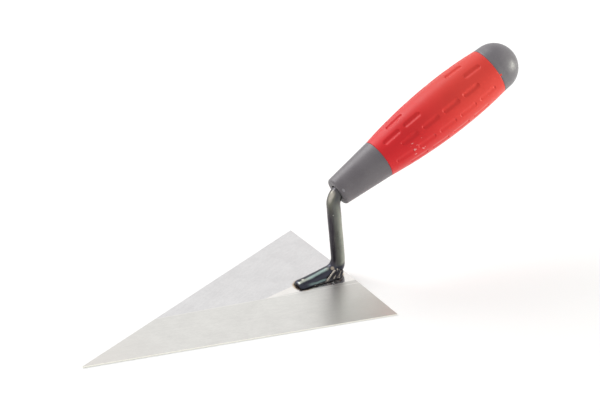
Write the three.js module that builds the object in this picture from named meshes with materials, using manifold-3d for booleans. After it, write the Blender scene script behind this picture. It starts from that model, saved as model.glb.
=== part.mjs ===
// A brick trowel: a triangular taper-ground steel blade, a forged tang welded to it by its foot,
// and a moulded handle made of a core, a soft grip sleeve and a butt cap.
// Millimetres, +Z up. The blade lies flat on the plane Z = 0, +X runs from its point to the handle,
// and the origin is the centroid of the blade's flat underside. -Y is the trowel's right side.
import * as THREE from "three";
import { mergeVertices } from "three/addons/utils/BufferGeometryUtils.js";
import Module from "manifold-3d";

const wasm = await Module();
wasm.setup();

// Blade
const BLADE_LENGTH = 200; // point to heel edge
const BLADE_WIDTH = 122.6; // across the heel edge
const BLADE_THICKNESS = 1.8; // on the unground flat
const CORNER_THICKNESS = 0.8; // left at both heel corners by the grinding
const CORNER_RADIUS = 0.25; // the three corners are only eased
const FLAT_LENGTH = 61; // unground flat, from its point to the heel edge
const FLAT_RIGHT = 14; // how far it reaches to each side of the middle at the heel edge
const FLAT_LEFT = 7.2;

// Tang: one round rod with a flattened foot, a neck and a tail inside the handle
const ROD_DIAMETER = 9.1;
const FOOT_LENGTH = 32.7; // toe to the neck's line
const FOOT_FLATTENING = 1.3; // forged off the rod where it lies on the blade
const HEEL_HALF_WIDTH = 6.4; // the foot spreads where it meets the blade
const TOE_HALF_WIDTH = 5.7;
const FLARE_POWER = 1.5; // higher keeps that spread closer to the face
const HEEL_FLATTENING = 0.85; // the foot's height at the heel and the toe, as shares of the rod's
const TOE_FLATTENING = 0.41;
const FALL_POWER = 1.4; // higher lets that height fall sooner behind the heel; 1 is an even slope
const FLATTENED_HEIGHT = 8; // all below this is flattened, and nothing above twice this
const TOE_ROUNDING = 3; // length over which the toe's end is rounded off
const TOE_BLUNTNESS = 0.62; // share of the section that is left at its very end
const NECK_SETBACK = 3.6; // heel edge to the neck's line, at the foot
const NECK_LEAN = 5.4; // degrees, forwards
const NECK_HEIGHT = 61.4; // where the neck's line meets the handle's axis
const HEEL_BEND = 9; // bend radii on the rod's centre line
const HEEL_SQUARENESS = 0.16; // the heel's outer corner is upset: 0 is an arc, 0.41 a sharp corner
const NOSE_BEND = 9.5;
const TAIL_LENGTH = 84; // rod inside the handle
const TAIL_WIDTH = 1.16; // the tail is pressed oval, so that the handle can't turn on it
const TAIL_HEIGHT = 0.84;
const PRESSED_LENGTH = 62; // how much of the tail is oval

// Weld beads
const BEAD_RADIUS = 1.2;
const BEAD_CENTRE = 0.3; // its centre line's height above the face
const BEAD_OFFSET = 0.12; // and distance outside the foot
const BEAD_START = 9; // from the toe's end
const BEAD_RIPPLE = 0.2; // ripple height, and its length along the bead
const RIPPLE_PITCH = 3;
const HEEL_BEAD_FRONT = 6.5; // the heel's bead starts this far in front of the neck's line
const HEEL_BEAD_LENGTH = 5.8; // and reaches this far back from there

// Handle, measured along its axis from the nose's front face
const HANDLE_TILT = 23.15; // degrees above the blade
const NOSE_GAP = 3.75; // from the neck's line to the nose's front face
const NOSE_LENGTH = 35.65;
const NOSE_RADIUS = 9.75;
const NOSE_ROUNDING = 1.7;
const MOUTH_CLEARANCE = 0.9; // the bore opens out round the rod's bend
const MOUTH_DEPTH = 6;
const GRIP_LENGTH = 94;
const GRIP_FRONT_RADIUS = 13.35;
const GRIP_REAR_RADIUS = 16.35;
const GRIP_FULLNESS = [
  { at: 0.285, radius: 17.9 }, // control points that swell the barrel
  { at: 0.667, radius: 20.2 },
];
const SLEEVE_WALL = 3;
const CAP_RADIUS = 16.1; // of the domed end
const CAP_SHOULDER = 4.4; // sleeve's end to the dome's centre
const CAP_WALL = 3.2;
const CAP_BORE_CONE = 1.6; // height of the cone that ends the cap's bore
const CAVITY_RADIUS = 9.6; // the core is hollow behind the tail
const CAVITY_FLOOR = 12; // solid core between that cavity and the tail
const SPIGOT_LENGTH = 11; // of the cap, inside that cavity
const INDEX_TAB = { width: 1.7, length: 1.5, depth: 1.4, angle: 70 }; // keys the sleeve to the cap

// Grip grooves
const ROWS = 12;
const FIRST_ROW = 23.5; // degrees from the top towards the right side
const GROOVE = { length: 13.4, width: 2.4, depth: 0.8, pitch: 17.1, start: 5.4, endMargin: 4 };
const SMOOTH_PANEL = { from: 33, to: 68, halfAngle: 36 }; // plain patch on top of the grip

const GAP = 0.3; // clearance between pieces that touch on the real tool
const ROUND = 32; // facets round the handle
const BARREL_STEPS = 10; // and along the grip
const ROD_SIDES = 12;
const ROD_STEP = 3.4;
const BEAD_SIDES = 8;
const STEPS_PER_RIPPLE = 3;
const LEAST_HALF_WIDTH = 0.5; // of the bar, when the foot's spread is reckoned from it
const HUGE = 1000; // more than any cut needs

const ROD_RADIUS = ROD_DIAMETER / 2;
const POINT_X = (-2 / 3) * BLADE_LENGTH;
const HEEL_X = BLADE_LENGTH / 3;
const HALF_WIDTH = BLADE_WIDTH / 2;
const FLAT_POINT_X = HEEL_X - FLAT_LENGTH;
const GRIP_END = NOSE_LENGTH + GRIP_LENGTH;
const CAP_CENTRE = GRIP_END + CAP_SHOULDER;
const CAVITY_START = TAIL_LENGTH + CAVITY_FLOOR;
const rad = THREE.MathUtils.degToRad;

// --- Solids ---

function solidOf(geometry) {
  geometry.deleteAttribute("normal");
  geometry.deleteAttribute("uv");
  const merged = mergeVertices(geometry, 1e-3);
  return new wasm.Manifold(
    new wasm.Mesh({
      numProp: 3,
      vertProperties: merged.attributes.position.array,
      triVerts: new Uint32Array(merged.index.array),
    }),
  );
}

function meshOf(name, solid, finish) {
  const { vertProperties, triVerts, numProp } = solid.getMesh();
  const geometry = new THREE.BufferGeometry();
  geometry.setAttribute(
    "position",
    new THREE.InterleavedBufferAttribute(new THREE.InterleavedBuffer(vertProperties, numProp), 3, 0),
  );
  geometry.setIndex(new THREE.BufferAttribute(triVerts, 1));
  const flat = geometry.toNonIndexed();
  flat.computeVertexNormals();
  const mesh = new THREE.Mesh(flat, new THREE.MeshStandardMaterial(finish));
  mesh.name = name;
  return mesh;
}

function moved(geometry, change) {
  const position = geometry.attributes.position;
  const point = new THREE.Vector3();
  for (let i = 0; i < position.count; i++) {
    change(point.fromBufferAttribute(position, i));
    position.setXYZ(i, point.x, point.y, point.z);
  }
  return geometry;
}

// A round bar along a curve, closed at both ends.
function bar(curve, radius, step, sides) {
  const section = new THREE.Shape().absarc(0, 0, radius, 0, 2 * Math.PI);
  const steps = Math.round(curve.getLength() / step);
  return new THREE.ExtrudeGeometry(section, { extrudePath: curve, steps, curveSegments: sides / 2 });
}

// --- Blade ---

// Everything above a plane that leans on the line from a to b and drops by slope per millimetre beside it.
function grindingCut(a, b, side, slope) {
  const cut = new THREE.BoxGeometry(HUGE, HUGE, HUGE);
  cut.translate(0, (side * HUGE) / 2, HUGE / 2);
  cut.rotateX(-side * Math.atan(slope));
  cut.rotateZ(Math.atan2(b.y - a.y, b.x - a.x));
  cut.translate(a.x, a.y, BLADE_THICKNESS);
  return solidOf(cut);
}

function distanceToLine(point, a, b) {
  const along = b.clone().sub(a).normalize();
  return Math.abs(point.clone().sub(a).cross(along));
}

function cornerRoundedOutline(corners, radius) {
  const shape = new THREE.Shape();
  corners.forEach((corner, i) => {
    const before = corners.at(i - 1).clone().sub(corner).normalize();
    const after = corners[(i + 1) % corners.length].clone().sub(corner).normalize();
    const half = before.angleTo(after) / 2;
    const reach = radius / Math.tan(half);
    const start = corner.clone().addScaledVector(before, reach);
    const end = corner.clone().addScaledVector(after, reach);
    shape[i ? "lineTo" : "moveTo"](start.x, start.y);
    shape.quadraticCurveTo(corner.x, corner.y, end.x, end.y);
  });
  return shape;
}

function blade() {
  const corners = [
    new THREE.Vector2(POINT_X, 0),
    new THREE.Vector2(HEEL_X, -HALF_WIDTH),
    new THREE.Vector2(HEEL_X, HALF_WIDTH),
  ];
  const sheet = new THREE.ExtrudeGeometry(cornerRoundedOutline(corners, CORNER_RADIUS), {
    depth: BLADE_THICKNESS,
    bevelEnabled: false,
    curveSegments: 4,
  });
  const flatPoint = new THREE.Vector2(FLAT_POINT_X, 0);
  const facets = [
    { heel: new THREE.Vector2(HEEL_X, -FLAT_RIGHT), corner: corners[1], side: -1 },
    { heel: new THREE.Vector2(HEEL_X, FLAT_LEFT), corner: corners[2], side: 1 },
  ];
  return facets.reduce((solid, { heel, corner, side }) => {
    const slope = (BLADE_THICKNESS - CORNER_THICKNESS) / distanceToLine(corner, flatPoint, heel);
    return solid.subtract(grindingCut(flatPoint, heel, side, slope));
  }, solidOf(sheet));
}

// --- Tang ---

const lean = rad(NECK_LEAN);
const tilt = rad(HANDLE_TILT);
const rodAxis = new THREE.Vector2(Math.cos(tilt), Math.sin(tilt)); // of the tail and the handle
const footHeight = BLADE_THICKNESS + ROD_RADIUS - FOOT_FLATTENING; // of the rod's centre line
const heelPoint = new THREE.Vector2(HEEL_X - NECK_SETBACK, footHeight);
const toePoint = new THREE.Vector2(heelPoint.x - FOOT_LENGTH, footHeight);
const topPoint = new THREE.Vector2(
  heelPoint.x - Math.tan(lean) * (NECK_HEIGHT - footHeight),
  NECK_HEIGHT,
);
const heelBendCentre = new THREE.Vector2(
  heelPoint.x - HEEL_BEND * Math.tan((Math.PI / 2 + lean) / 2),
  footHeight + HEEL_BEND,
);

// Straight lines joined by arcs of the given radii, in the trowel's middle plane.
class RodCurve extends THREE.Curve {
  constructor(points, radii) {
    super();
    this.path = new THREE.Path().moveTo(points[0].x, points[0].y);
    for (let i = 1; i < points.length - 1; i++) {
      const back = points[i - 1].clone().sub(points[i]).normalize();
      const on = points[i + 1].clone().sub(points[i]).normalize();
      const half = back.angleTo(on) / 2;
      const radius = radii[i - 1];
      const start = points[i].clone().addScaledVector(back, radius / Math.tan(half));
      const centre = points[i]
        .clone()
        .addScaledVector(back.clone().add(on).normalize(), radius / Math.sin(half));
      const end = points[i].clone().addScaledVector(on, radius / Math.tan(half));
      const clockwise = back.cross(on) > 0;
      const angle = (p) => Math.atan2(p.y - centre.y, p.x - centre.x);
      this.path.lineTo(start.x, start.y);
      this.path.absarc(centre.x, centre.y, radius, angle(start), angle(end), clockwise);
    }
    this.path.lineTo(points.at(-1).x, points.at(-1).y);
  }
  getPoint(t, target = new THREE.Vector3()) {
    const { x, y } = this.path.getPoint(t);
    return target.set(x, 0, y);
  }
}

// 0 at the heel's bend, 1 at the toe.
function towardsToe(x) {
  return THREE.MathUtils.clamp((heelBendCentre.x - x) / (heelBendCentre.x - toePoint.x), 0, 1);
}

function footHalfWidth(x) {
  return THREE.MathUtils.lerp(HEEL_HALF_WIDTH, TOE_HALF_WIDTH, towardsToe(x));
}

// Half the width of a round bar of the given radius, at a height above or below its centre line.
function barHalfWidth(radius, height) {
  return Math.sqrt(Math.max(radius ** 2 - height ** 2, LEAST_HALF_WIDTH ** 2));
}

// The rod's lower half spreads from its own width to the foot's where it meets the face.
function forgeFoot(point, extra) {
  const above = point.z - BLADE_THICKNESS;
  const widestAt = ROD_RADIUS - FOOT_FLATTENING;
  const low = THREE.MathUtils.clamp(1 - above / widestAt, 0, 1);
  const flared = THREE.MathUtils.lerp(ROD_RADIUS, footHalfWidth(point.x), low ** FLARE_POWER) + extra;
  const spread = low > 0 ? flared / barHalfWidth(ROD_RADIUS + extra, above - widestAt) : 1;
  const fromEnd = THREE.MathUtils.clamp((point.x - toePoint.x) / TOE_ROUNDING, 0, 1);
  const end = THREE.MathUtils.lerp(TOE_BLUNTNESS, 1, Math.sqrt(1 - (1 - fromEnd) ** 2));
  const fallen = 1 - (1 - towardsToe(point.x)) ** FALL_POWER;
  const flattening = THREE.MathUtils.lerp(HEEL_FLATTENING, TOE_FLATTENING, fallen) * end;
  const fade = THREE.MathUtils.smoothstep(above, FLATTENED_HEIGHT, 2 * FLATTENED_HEIGHT);
  point.y *= spread * end;
  point.z = BLADE_THICKNESS + above * THREE.MathUtils.lerp(flattening, 1, fade);
}

// Upsetting pushes the heel's outer corner out and leaves the inside of the bend as it is.
function upsetHeel(point) {
  const arm = new THREE.Vector2(point.x, point.z).sub(heelBendCentre);
  if (arm.x <= 0 || arm.y >= 0) return;
  const outwards = (arm.length() - HEEL_BEND + ROD_RADIUS) / ROD_DIAMETER;
  const push = HEEL_SQUARENESS * Math.max(outwards, 0) * Math.sin(2 * Math.atan2(-arm.y, arm.x)) ** 2;
  point.x += arm.x * push;
  point.z += arm.y * push;
}

function pressTail(point) {
  const fromNose = new THREE.Vector2(point.x, point.z).sub(topPoint);
  if (fromNose.dot(rodAxis) < NOSE_GAP + TAIL_LENGTH - PRESSED_LENGTH) return;
  const off = rodAxis.cross(fromNose) * (TAIL_HEIGHT - 1);
  point.y *= TAIL_WIDTH;
  point.x -= rodAxis.y * off;
  point.z += rodAxis.x * off;
}

function forge(point, extra) {
  if (point.z < NECK_HEIGHT / 2) {
    upsetHeel(point);
    forgeFoot(point, extra);
  } else {
    pressTail(point);
  }
}

// The rod, made larger by extra for the clearance that its neighbours keep.
function rod(extra = 0) {
  const tailPoint = topPoint.clone().addScaledVector(rodAxis, NOSE_GAP + TAIL_LENGTH + extra);
  const curve = new RodCurve([toePoint, heelPoint, topPoint, tailPoint], [HEEL_BEND, NOSE_BEND]);
  const plain = bar(curve, ROD_RADIUS + extra, ROD_STEP, ROD_SIDES);
  return solidOf(moved(plain, (point) => forge(point, extra)));
}

function aboveBladeFace() {
  const box = new THREE.BoxGeometry(HUGE, HUGE, HUGE);
  return solidOf(box.translate(0, 0, BLADE_THICKNESS + HUGE / 2));
}

function tang() {
  return rod().intersect(aboveBladeFace());
}

// --- Weld beads: filler laid in the corner between the foot and the blade's face ---

const heelBeadFront = heelPoint.x - HEEL_BEAD_FRONT;

// Points are (x, y) on the blade; the bead's front end is cut square at the given x.
function bead(outline, front) {
  const centre = BLADE_THICKNESS + BEAD_CENTRE;
  const curve = new THREE.CatmullRomCurve3(outline.map(([x, y]) => new THREE.Vector3(x, y, centre)));
  const plain = bar(curve, BEAD_RADIUS, RIPPLE_PITCH / STEPS_PER_RIPPLE, BEAD_SIDES);
  const wavy = moved(plain, (point) => {
    const wave = Math.sin((2 * Math.PI * (point.x + point.y)) / RIPPLE_PITCH);
    point.z += (point.z - BLADE_THICKNESS) * (BEAD_RIPPLE / BEAD_RADIUS) * wave;
  });
  const behindFront = new THREE.BoxGeometry(HUGE, HUGE, HUGE).translate(front + HUGE / 2, 0, 0);
  return solidOf(wavy).subtract(rod(GAP)).intersect(aboveBladeFace()).intersect(solidOf(behindFront));
}

function sideBead(side) {
  const toe = toePoint.x + BEAD_START;
  const heel = heelBeadFront - GAP;
  const outline = [toe, (toe + heel) / 2, heel].map((x) => [x, side * (footHalfWidth(x) + BEAD_OFFSET)]);
  return bead(outline, toe);
}

function heelBead() {
  const y = HEEL_HALF_WIDTH + BEAD_OFFSET;
  const round = new THREE.EllipseCurve(heelBeadFront, 0, HEEL_BEAD_LENGTH, y, -Math.PI / 2, Math.PI / 2);
  const outline = round.getPoints(6).map((p) => [p.x, p.y]);
  const leadIn = heelBeadFront - BEAD_RADIUS;
  return bead([[leadIn, -y], ...outline, [leadIn, y]], heelBeadFront);
}

// --- Handle: solids of revolution about the handle's axis, which is local Y until they are placed ---

const barrel = new THREE.CubicBezierCurve(
  new THREE.Vector2(GRIP_FRONT_RADIUS, NOSE_LENGTH),
  ...GRIP_FULLNESS.map(({ at, radius }) => new THREE.Vector2(radius, NOSE_LENGTH + at * GRIP_LENGTH)),
  new THREE.Vector2(GRIP_REAR_RADIUS, GRIP_END),
);
const barrelPoints = barrel.getPoints(BARREL_STEPS);

function turned(profile) {
  return solidOf(new THREE.LatheGeometry(profile, ROUND));
}

function arcPoints(x, y, radius, from, to, count) {
  return new THREE.EllipseCurve(x, y, radius, radius, from, to, to < from).getPoints(count);
}

// Carries a solid from the handle's own axis to its place behind the neck.
const handleFrame = new THREE.Matrix4()
  .makeTranslation(topPoint.x, 0, topPoint.y)
  .multiply(new THREE.Matrix4().makeRotationY(-tilt))
  .multiply(new THREE.Matrix4().makeRotationZ(-Math.PI / 2))
  .multiply(new THREE.Matrix4().makeTranslation(0, NOSE_GAP, 0));

function intoHandle(solid) {
  return solid.transform(new THREE.Matrix4().copy(handleFrame).invert().elements);
}

function core() {
  const inner = barrelPoints.map((p) => new THREE.Vector2(p.x - SLEEVE_WALL - GAP, p.y));
  inner[0].y -= GAP;
  inner.at(-1).y -= GAP;
  const outside = turned([
    new THREE.Vector2(0, 0),
    ...arcPoints(NOSE_RADIUS - NOSE_ROUNDING, NOSE_ROUNDING, NOSE_ROUNDING, -Math.PI / 2, 0, 4),
    new THREE.Vector2(GRIP_FRONT_RADIUS, NOSE_LENGTH - GAP),
    ...inner,
    new THREE.Vector2(0, GRIP_END - GAP),
  ]);
  const mouth = turned([
    new THREE.Vector2(0, -1),
    new THREE.Vector2(ROD_RADIUS + MOUTH_CLEARANCE, -1),
    new THREE.Vector2(ROD_RADIUS + MOUTH_CLEARANCE, MOUTH_DEPTH / 2),
    new THREE.Vector2(ROD_RADIUS + GAP, MOUTH_DEPTH),
    new THREE.Vector2(0, MOUTH_DEPTH),
  ]);
  const cavity = turned([
    new THREE.Vector2(0, CAVITY_START),
    new THREE.Vector2(CAVITY_RADIUS, CAVITY_START),
    new THREE.Vector2(CAVITY_RADIUS, GRIP_END + 1),
    new THREE.Vector2(0, GRIP_END + 1),
  ]);
  return outside.subtract(mouth).subtract(cavity).subtract(intoHandle(rod(GAP)));
}

// A tab of the sleeve that lies in a notch of the cap's rim.
function indexTab(extra = 0) {
  const { width, length, depth, angle } = INDEX_TAB;
  const tab = new THREE.BoxGeometry(width + 2 * extra, 2 * (length + extra), depth + 2 * extra);
  tab.translate(0, GRIP_END, GRIP_REAR_RADIUS - depth / 2);
  return solidOf(tab.rotateY(rad(angle)));
}

// Rows of grooves all round, every second row moved on by half a pitch.
function grooves() {
  const cutters = [];
  for (let row = 0; row < ROWS; row++) {
    const angle = THREE.MathUtils.euclideanModulo(FIRST_ROW + (row * 360) / ROWS + 180, 360) - 180;
    const besidePanel = Math.abs(angle) > SMOOTH_PANEL.halfAngle;
    const first = GROOVE.start + GROOVE.length / 2 + ((row % 2) * GROOVE.pitch) / 2;
    const last = GRIP_LENGTH - GROOVE.endMargin - GROOVE.length / 2;
    for (let along = first; along < last; along += GROOVE.pitch) {
      const clear = along < SMOOTH_PANEL.from || along > SMOOTH_PANEL.to;
      if (clear || besidePanel) cutters.push(grooveCutter(along, angle));
    }
  }
  return wasm.Manifold.union(cutters);
}

function grooveCutter(along, angle) {
  const outline = new THREE.Shape();
  const end = (GROOVE.length - GROOVE.width) / 2;
  outline.absarc(0, end, GROOVE.width / 2, 0, Math.PI);
  outline.absarc(0, -end, GROOVE.width / 2, Math.PI, 2 * Math.PI);
  const depth = 2 * GROOVE.depth; // as far out of the grip as into it
  const cutter = new THREE.ExtrudeGeometry(outline, { depth, bevelEnabled: false, curveSegments: 2 });
  const t = barrelParameter(NOSE_LENGTH + along);
  const tangent = barrel.getTangent(t);
  cutter.translate(0, 0, -GROOVE.depth);
  cutter.rotateX(Math.atan2(tangent.x, tangent.y));
  cutter.translate(0, NOSE_LENGTH + along, barrel.getPoint(t).x);
  return solidOf(cutter.rotateY(rad(angle)));
}

// The barrel curve's parameter at a distance along the handle, by halving.
function barrelParameter(along) {
  let low = 0;
  let high = 1;
  while (high - low > 1e-4) {
    const middle = (low + high) / 2;
    if (barrel.getPoint(middle).y < along) low = middle;
    else high = middle;
  }
  return low;
}

function sleeve() {
  const inside = barrelPoints.map((p) => new THREE.Vector2(p.x - SLEEVE_WALL, p.y)).reverse();
  const shell = turned([...barrelPoints, ...inside, barrelPoints[0]]);
  return shell.subtract(grooves()).add(indexTab());
}

function cap() {
  const spigot = CAVITY_RADIUS - GAP;
  const bore = spigot - CAP_WALL;
  const rim = GRIP_END + GAP;
  const outside = turned([
    new THREE.Vector2(0, GRIP_END - SPIGOT_LENGTH),
    new THREE.Vector2(spigot, GRIP_END - SPIGOT_LENGTH),
    new THREE.Vector2(spigot, rim),
    new THREE.Vector2(GRIP_REAR_RADIUS, rim),
    ...arcPoints(0, CAP_CENTRE, CAP_RADIUS, 0, Math.PI / 2, 9),
  ]);
  const hollow = turned([
    new THREE.Vector2(0, GRIP_END - SPIGOT_LENGTH - 1),
    new THREE.Vector2(bore, GRIP_END - SPIGOT_LENGTH - 1),
    new THREE.Vector2(bore, CAP_CENTRE + CAP_RADIUS - CAP_WALL - CAP_BORE_CONE),
    new THREE.Vector2(0, CAP_CENTRE + CAP_RADIUS - CAP_WALL),
  ]);
  return outside.subtract(hollow).subtract(indexTab(GAP));
}

// --- Finishes and assembly ---

const groundSteel = { color: 0xd9d9d6, roughness: 0.35, metalness: 1 };
const blackenedSteel = { color: 0x6c6d68, roughness: 0.38, metalness: 1 };
const weldSteel = { color: 0x4b4c4e, roughness: 0.45, metalness: 1 };
const greyPlastic = { color: 0x757379, roughness: 0.55, metalness: 0 };
const redRubber = { color: 0xd8362f, roughness: 0.45, metalness: 0 };

const handle = new THREE.Group();
handle.applyMatrix4(handleFrame);
handle.add(
  meshOf("handle_core", core(), greyPlastic),
  meshOf("grip_sleeve", sleeve(), redRubber),
  meshOf("butt_cap", cap(), greyPlastic),
);

const trowel = new THREE.Group();
trowel.add(
  meshOf("blade", blade(), groundSteel),
  meshOf("tang", tang(), blackenedSteel),
  meshOf("weld_bead_right", sideBead(-1), weldSteel),
  meshOf("weld_bead_left", sideBead(1), weldSteel),
  meshOf("weld_bead_heel", heelBead(), weldSteel),
  handle,
);

export default trowel;
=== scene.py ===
from math import atan2, cos, degrees, hypot, pi, radians, sin, sqrt, tan

import bmesh
import bpy
from mathutils import Matrix, Vector, noise


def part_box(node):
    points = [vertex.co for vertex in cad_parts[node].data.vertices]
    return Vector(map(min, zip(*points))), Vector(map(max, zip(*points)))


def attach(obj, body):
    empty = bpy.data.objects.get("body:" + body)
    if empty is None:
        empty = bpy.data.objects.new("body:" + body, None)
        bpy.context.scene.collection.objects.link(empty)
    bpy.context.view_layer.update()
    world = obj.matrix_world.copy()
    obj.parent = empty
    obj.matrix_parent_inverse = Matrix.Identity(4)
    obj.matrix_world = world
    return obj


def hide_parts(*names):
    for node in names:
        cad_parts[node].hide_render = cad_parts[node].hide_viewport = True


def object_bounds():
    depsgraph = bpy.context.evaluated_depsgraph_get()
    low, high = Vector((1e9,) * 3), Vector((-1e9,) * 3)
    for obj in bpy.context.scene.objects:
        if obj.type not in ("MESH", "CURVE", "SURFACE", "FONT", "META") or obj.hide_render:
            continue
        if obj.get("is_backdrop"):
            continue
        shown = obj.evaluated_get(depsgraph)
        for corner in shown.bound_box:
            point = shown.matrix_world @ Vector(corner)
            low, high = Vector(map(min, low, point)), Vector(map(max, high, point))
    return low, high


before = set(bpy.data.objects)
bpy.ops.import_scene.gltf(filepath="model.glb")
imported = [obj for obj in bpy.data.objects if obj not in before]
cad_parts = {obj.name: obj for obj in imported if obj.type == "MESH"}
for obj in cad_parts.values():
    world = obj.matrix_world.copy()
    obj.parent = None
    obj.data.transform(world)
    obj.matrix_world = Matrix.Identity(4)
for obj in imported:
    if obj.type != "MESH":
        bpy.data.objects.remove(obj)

cad_low, cad_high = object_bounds()


# Camera: a long lens, a third of the way up from the bench, off the blade's right edge.

LENS = 270
SENSOR_WIDTH = 36
VIEW_AZIMUTH = radians(-34.11)
VIEW_HEIGHT = radians(31.661)
VIEW_DISTANCE = 2.909
LOOKS_AT = Vector((0.01482, 0.02371, -0.02018))  # from the middle of the trowel

middle = (cad_low + cad_high) / 2
towards_camera = Vector(
    (
        sin(VIEW_AZIMUTH) * cos(VIEW_HEIGHT),
        -cos(VIEW_AZIMUTH) * cos(VIEW_HEIGHT),
        sin(VIEW_HEIGHT),
    )
)
lens = bpy.data.cameras.new("camera")
lens.lens = LENS
lens.sensor_width = SENSOR_WIDTH
lens.clip_start = 0.1
lens.clip_end = 50
camera = bpy.data.objects.new("camera", lens)
camera.location = middle + LOOKS_AT + towards_camera * VIEW_DISTANCE
camera.rotation_euler = towards_camera.to_track_quat("Z", "Y").to_euler()
bpy.context.collection.objects.link(camera)
bpy.context.scene.camera = camera
bpy.context.scene.view_settings.view_transform = "Standard"


# Bench: a plain white sheet that the trowel lies on. It is painted, and keeps the soft shadow
# that the handle throws.

BENCH_HALF = 6
BENCH_DROP = 0.00005  # it lies a hair below the blade, so that the two faces don't coincide
BENCH_WHITE = (0.9, 0.9, 0.9, 1)
BENCH_GLOW = 0.15


def node(finish, kind, inputs=None, **settings):
    """Adds a shader node; an input is either a value or the output that feeds it."""
    made = finish.node_tree.nodes.new(kind)
    for name, value in settings.items():
        setattr(made, name, value)
    for name, value in (inputs or {}).items():
        if isinstance(value, bpy.types.NodeSocket):
            finish.node_tree.links.new(value, made.inputs[name])
        else:
            made.inputs[name].default_value = value
    return made


def feed(finish, shader, name, value):
    finish.node_tree.links.new(value, shader.inputs[name])


def maths(finish, operation, *values):
    return node(finish, "ShaderNodeMath", dict(enumerate(values)), operation=operation).outputs[0]


def seen_directly_or_mirrored(finish):
    """1 for the camera and for what metal mirrors, 0 for the light that falls on things."""
    rays = node(finish, "ShaderNodeLightPath").outputs
    mirrored = maths(finish, "MAXIMUM", rays["Is Camera Ray"], rays["Is Glossy Ray"])
    return maths(finish, "MAXIMUM", mirrored, rays["Is Transmission Ray"])


def add_object(name, points, faces):
    mesh = bpy.data.meshes.new(name)
    mesh.from_pydata([tuple(p) for p in points], [], faces)
    made = bpy.data.objects.new(name, mesh)
    bpy.context.collection.objects.link(made)
    return made


bench_paint = bpy.data.materials.new("bench_paint")
bench_paint.use_nodes = True
painted = bench_paint.node_tree.nodes["Principled BSDF"]
painted.inputs["Base Color"].default_value = BENCH_WHITE
painted.inputs["Roughness"].default_value = 1
painted.inputs["Specular IOR Level"].default_value = 0
painted.inputs["Emission Color"].default_value = (1, 1, 1, 1)
glow = maths(bench_paint, "MULTIPLY", seen_directly_or_mirrored(bench_paint), BENCH_GLOW)
feed(bench_paint, painted, "Emission Strength", glow)

bench_corners = [
    (x * BENCH_HALF, y * BENCH_HALF, cad_low.z - BENCH_DROP)
    for x, y in ((-1, -1), (1, -1), (1, 1), (-1, 1))
]
bench = add_object("bench", bench_corners, [(0, 1, 2, 3)])
bench.data.materials.append(bench_paint)
bench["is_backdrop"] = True


# Light: a white room, one wide soft lamp behind the trowel's left side, and a small low one off
# the end of the handle. The lamps leave the blade to the room, which it mirrors.

ROOM_LEVEL = 0.65
LAMPS = [
    # name, direction from the trowel, distance, width, height, power, colour
    ("lamp_behind", Vector((-0.25, 0.75, 0.62)), 1.6, 1.1, 1.0, 16, (1, 1, 1)),
    ("lamp_right", Vector((0.9, -0.42, 0.1)), 1.5, 0.45, 0.45, 13, (0.98, 1, 0.88)),
]

room = bpy.data.worlds.new("room")
room.use_nodes = True
bpy.context.scene.world = room
sky = room.node_tree.nodes["Background"]
sky.inputs["Color"].default_value = (1, 1, 1, 1)
level = node(
    room,
    "ShaderNodeMapRange",
    {"Value": seen_directly_or_mirrored(room), "To Min": ROOM_LEVEL, "To Max": 1.0},
)
feed(room, sky, "Strength", level.outputs[0])

lit_by_lamps = bpy.data.collections.new("lit_by_lamps")
for name, direction, distance, width, height, power, colour in LAMPS:
    lamp = bpy.data.lights.new(name, "AREA")
    lamp.shape = "RECTANGLE"
    lamp.size = width
    lamp.size_y = height
    lamp.energy = power
    lamp.color = colour
    holder = bpy.data.objects.new(name, lamp)
    holder.location = middle + direction.normalized() * distance
    holder.rotation_euler = direction.to_track_quat("Z", "Y").to_euler()
    holder.light_linking.receiver_collection = lit_by_lamps
    bpy.context.collection.objects.link(holder)


# Blade: one triangle of hardened sheet steel. Each half is belt-ground from a narrow unground
# wedge down to its edge, so that the heel keeps its stiffness and the edges come out thin.

BLADE_LENGTH = 0.2
BLADE_HALF_WIDTH = 0.0613
SHEET = 0.0018
EDGE = 0.0008
POINT_EDGE = 0.0011
WEDGE_LENGTH = 0.061
WEDGE_RIGHT = 0.014
WEDGE_LEFT = 0.0072
RIDGE_END = 0.0708  # how far in front of the wedge the ridge meets the left edge
CORNER_RADIUS = 0.00025
CORNER_STEPS = 5
EDGE_EASING = 0.0002
EASING_STEPS = 3
FINE_MARKS = (420, 1900, 1)  # marks of the belt, per metre along, across and through the sheet
BROAD_MARKS = (90, 420, 1)
ROLLING_LINES = (60, 1500, 1)
CORNER_SHADE_REACH = 0.072  # how far the painted darker reflection at the right corner reaches, and how far the point turns warmer
POINT_WARMTH_REACH = 0.07
RIDGE_HALF = 0.0005

_, blade_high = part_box("blade")
heel_x = blade_high.x
point_x = heel_x - BLADE_LENGTH
wedge_point = Vector((heel_x - WEDGE_LENGTH, 0, SHEET))
left_edge_slope = BLADE_HALF_WIDTH / BLADE_LENGTH
ridge_x = wedge_point.x - RIDGE_END
ridge_end = Vector((ridge_x, (ridge_x - point_x) * left_edge_slope, (POINT_EDGE + EDGE) / 2))


def rounded_corner(corner, before, after, height):
    """Points of the small round at a corner of the sheet, in order."""
    back = (before - corner).normalized()
    on = (after - corner).normalized()
    half = back.angle(on) / 2
    centre = corner + (back + on).normalized() * (CORNER_RADIUS / sin(half))
    start = corner + back * (CORNER_RADIUS / tan(half)) - centre
    turn = pi - 2 * half
    return [
        (centre + Matrix.Rotation(turn * i / CORNER_STEPS, 2) @ start).to_3d()
        + Vector((0, 0, height))
        for i in range(CORNER_STEPS + 1)
    ]


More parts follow.
